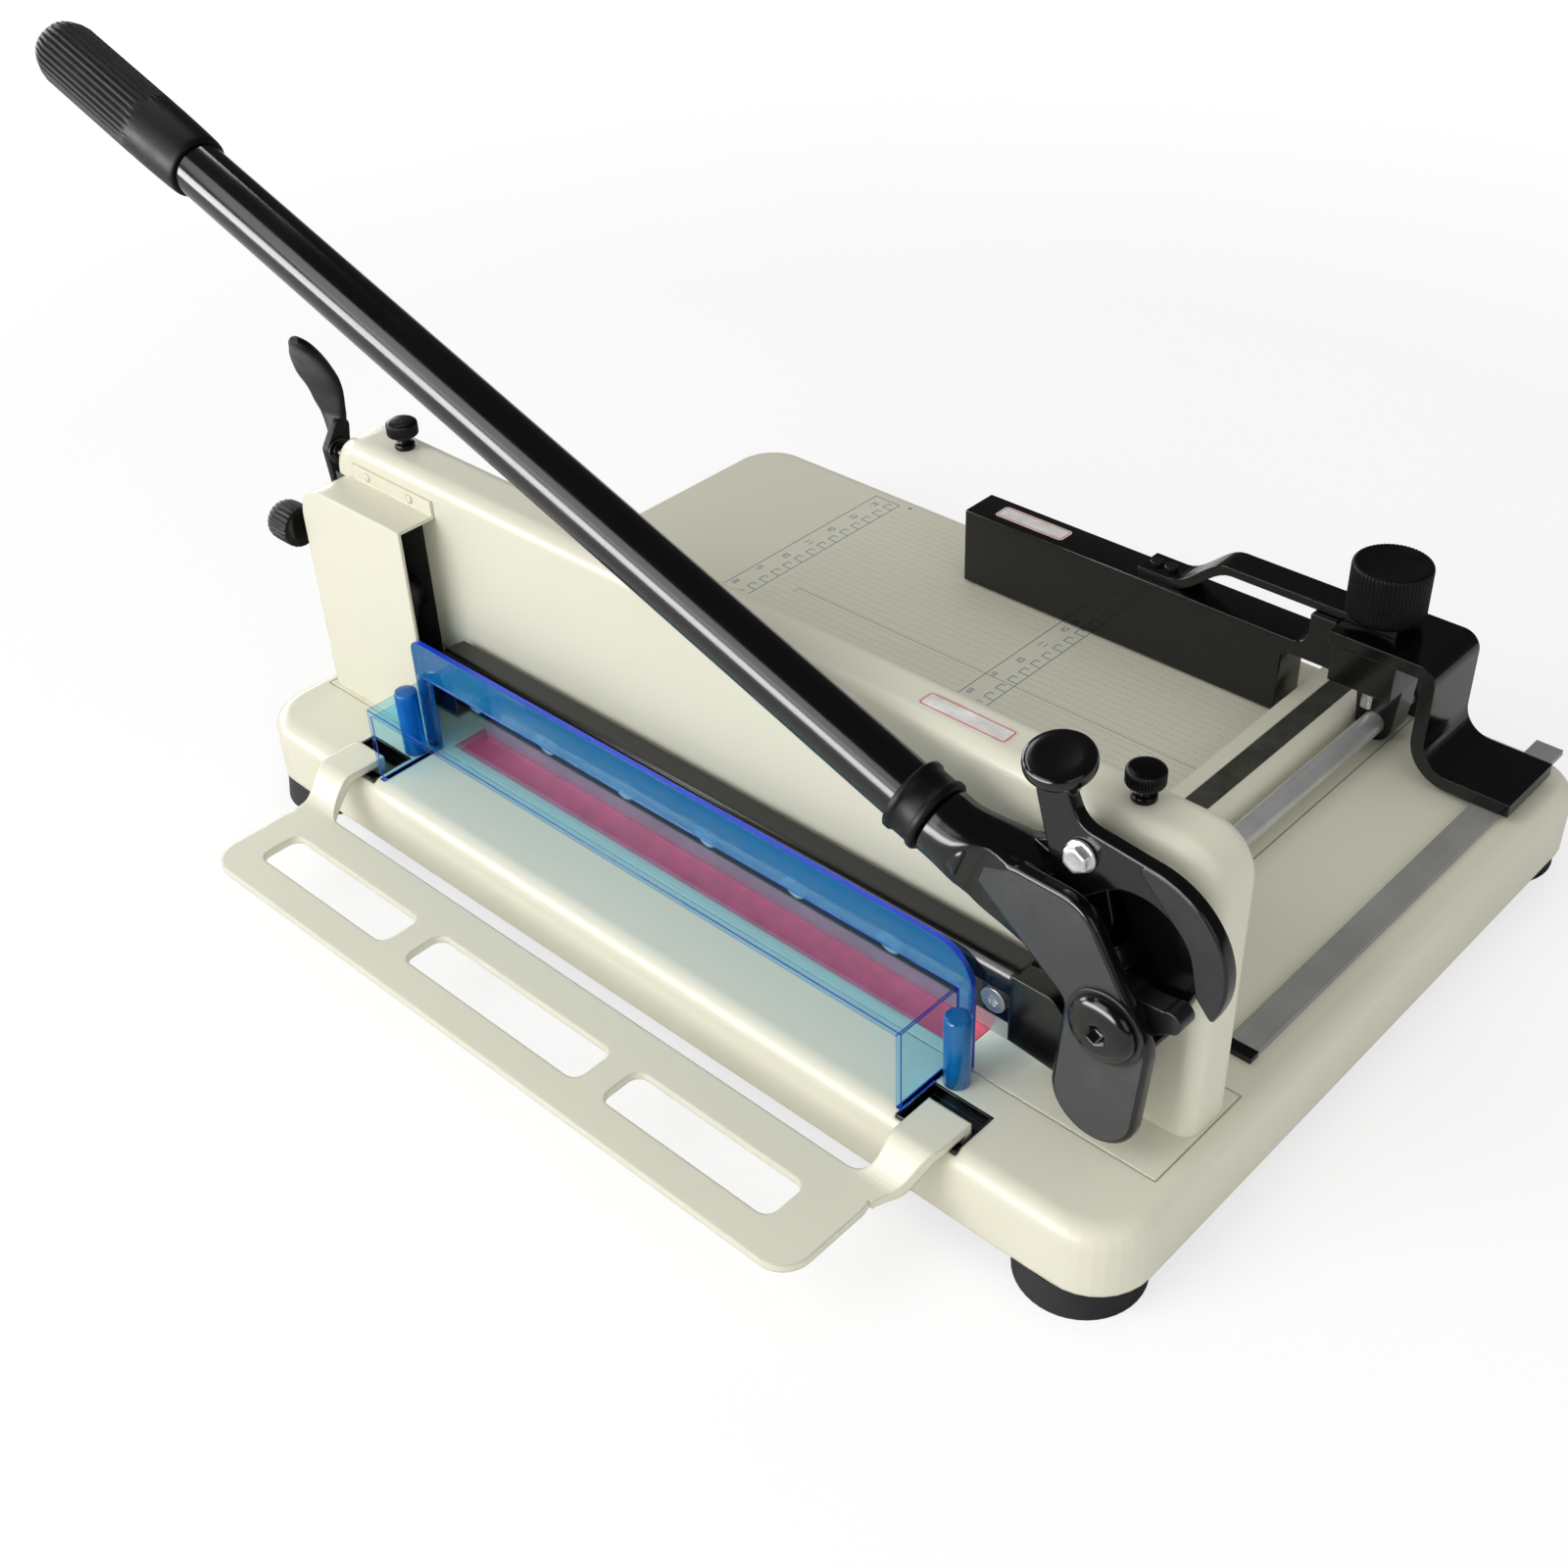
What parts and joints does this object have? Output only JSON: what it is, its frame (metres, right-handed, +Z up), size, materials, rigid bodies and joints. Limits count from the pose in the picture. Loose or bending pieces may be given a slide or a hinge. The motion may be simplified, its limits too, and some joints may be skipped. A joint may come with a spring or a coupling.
{
  "type": "stack paper cutter",
  "caption": "Desktop stack paper cutter: long lever on a bridge, level blade carrier, crank-driven paper clamp, clear guard, front plate and sliding back gauge.",
  "frame": {"origin": "on the floor under the middle of the whole object with the lever lowered", "axes": "+X along the bridge towards the lever's pivot, +Y from the front plate to the back gauge, +Z up"},
  "size_m": [0.6886, 0.4858, 0.3776],
  "materials": {
    "cream_enamel": "semi-gloss enamel",
    "black_enamel": "gloss black enamel",
    "dark_sheet": "satin",
    "black_plastic": "moulded, satin",
    "rubber": "matte",
    "black_steel": "blackened steel",
    "zinc_steel": "zinc plated",
    "bright_steel": "ground",
    "blade_steel": "ground across its length",
    "red_plastic": "satin",
    "blue_acrylic": "clear blue acrylic",
    "bronze": "sintered"
  },
  "bodies": {
    "frame": {"base_shell": "cream_enamel", "bottom_cover": "dark_sheet", "feet": "rubber", "foot_screws": "zinc_steel", "bed_plate": "cream_enamel", "cutting_stick": "red_plastic", "bridge": "cream_enamel", "bridge_bolts": "zinc_steel", "left_cover": "cream_enamel", "left_cover_screws": "zinc_steel", "pivot_bolt": "black_steel", "pivot_washer": "black_steel", "pivot_nut": "zinc_steel", "pivot_collar": "black_enamel", "link_stud": "zinc_steel", "shaft_bushes": "bronze", "release_pivot": "zinc_steel", "guard": "blue_acrylic", "guard_posts": "blue_acrylic", "guard_screws": "zinc_steel", "front_plate": "cream_enamel", "slot_trims": "black_plastic", "side_rail": "cream_enamel", "rail_inset": "dark_sheet", "guide_rod": "bright_steel", "rod_supports": "black_enamel", "steel_strip": "bright_steel", "strip_cap": "black_plastic"},
    "lever": {"lever_fork": "black_enamel", "lever_tube": "black_enamel", "lever_ferrule": "black_plastic", "lever_grip": "black_plastic", "carrier_pin": "zinc_steel", "catch_bolt": "zinc_steel"},
    "carrier": {"blade_carrier": "black_enamel", "blade": "blade_steel", "blade_screws": "zinc_steel"},
    "link": {"swing_link": "dark_sheet", "link_pin": "zinc_steel"},
    "catch": {"safety_catch": "black_enamel"},
    "clamp": {"clamp_bar": "bright_steel", "clamp_racks": "bright_steel"},
    "crank": {"clamp_shaft": "bright_steel", "clamp_pinions": "bright_steel", "ratchet_wheel": "bright_steel", "clamp_crank": "black_enamel", "crank_grip": "black_plastic"},
    "release": {"release_lever": "black_enamel"},
    "gauge": {"gauge_fence": "black_enamel", "gauge_strap": "black_enamel", "strap_screws": "black_steel", "gauge_carriage": "black_enamel", "gauge_hub": "black_enamel"},
    "knob": {"clamping_knob": "black_plastic", "knob_stud": "zinc_steel"},
    "thumb_left": {"thumb_screw_left": "black_plastic"},
    "thumb_right": {"thumb_screw_right": "black_plastic"}
  },
  "joints": [
    {"name": "lever_swing", "type": "hinge", "parent": "frame", "child": "lever", "pos_m": [0.30248, -0.1104, 0.1211], "axis": [0, 1, 0], "range_deg": [0, 70]},
    {"name": "carrier_level", "type": "hinge", "parent": "lever", "child": "carrier", "pos_m": [0.28698, -0.1104, 0.0791], "axis": [0, 1, 0], "range_deg": [-70, 0]},
    {"name": "link_swing", "type": "hinge", "parent": "frame", "child": "link", "pos_m": [-0.14862, -0.1014, 0.1211], "axis": [0, 1, 0], "range_deg": [0, 70]},
    {"name": "catch_tilt", "type": "hinge", "parent": "lever", "child": "catch", "pos_m": [0.27948, -0.1104, 0.1848], "axis": [0, 1, 0], "range_deg": [0, 8]},
    {"name": "crank_turn", "type": "hinge", "parent": "frame", "child": "crank", "pos_m": [-0.19112, -0.0777, 0.139], "axis": [1, 0, 0], "range_deg": [0, 300]},
    {"name": "clamp_slide", "type": "slide", "parent": "frame", "child": "clamp", "axis": [0, 0, -1], "range_m": [0, 0.0419]},
    {"name": "release_tilt", "type": "hinge", "parent": "frame", "child": "release", "pos_m": [-0.20912, -0.08815, 0.178], "axis": [1, 0, 0], "range_deg": [-10, 0], "stiffness_Nm_per_rad": 0.4, "springref_deg": 5.73},
    {"name": "gauge_slide", "type": "slide", "parent": "frame", "child": "gauge", "axis": [0, 1, 0], "range_m": [-0.225, 0.012]},
    {"name": "knob_turn", "type": "hinge", "parent": "gauge", "child": "knob", "pos_m": [0.23588, 0.1989, 0.13], "axis": [0, 0, 1], "range_deg": [0, 360]},
    {"name": "thumb_left_turn", "type": "hinge", "parent": "frame", "child": "thumb_left", "pos_m": [-0.15962, -0.07965, 0.2], "axis": [0, 0, 1], "range_deg": [0, 360]},
    {"name": "thumb_right_turn", "type": "hinge", "parent": "frame", "child": "thumb_right", "pos_m": [0.28188, -0.07965, 0.2], "axis": [0, 0, 1], "range_deg": [0, 360]}
  ],
  "couplings": [
    {"joint": "carrier_level", "follows": "lever_swing", "ratio": -1},
    {"joint": "link_swing", "follows": "lever_swing", "ratio": 1},
    {"joint": "crank_turn", "follows": "clamp_slide", "rad_per_m": 125}
  ]
}
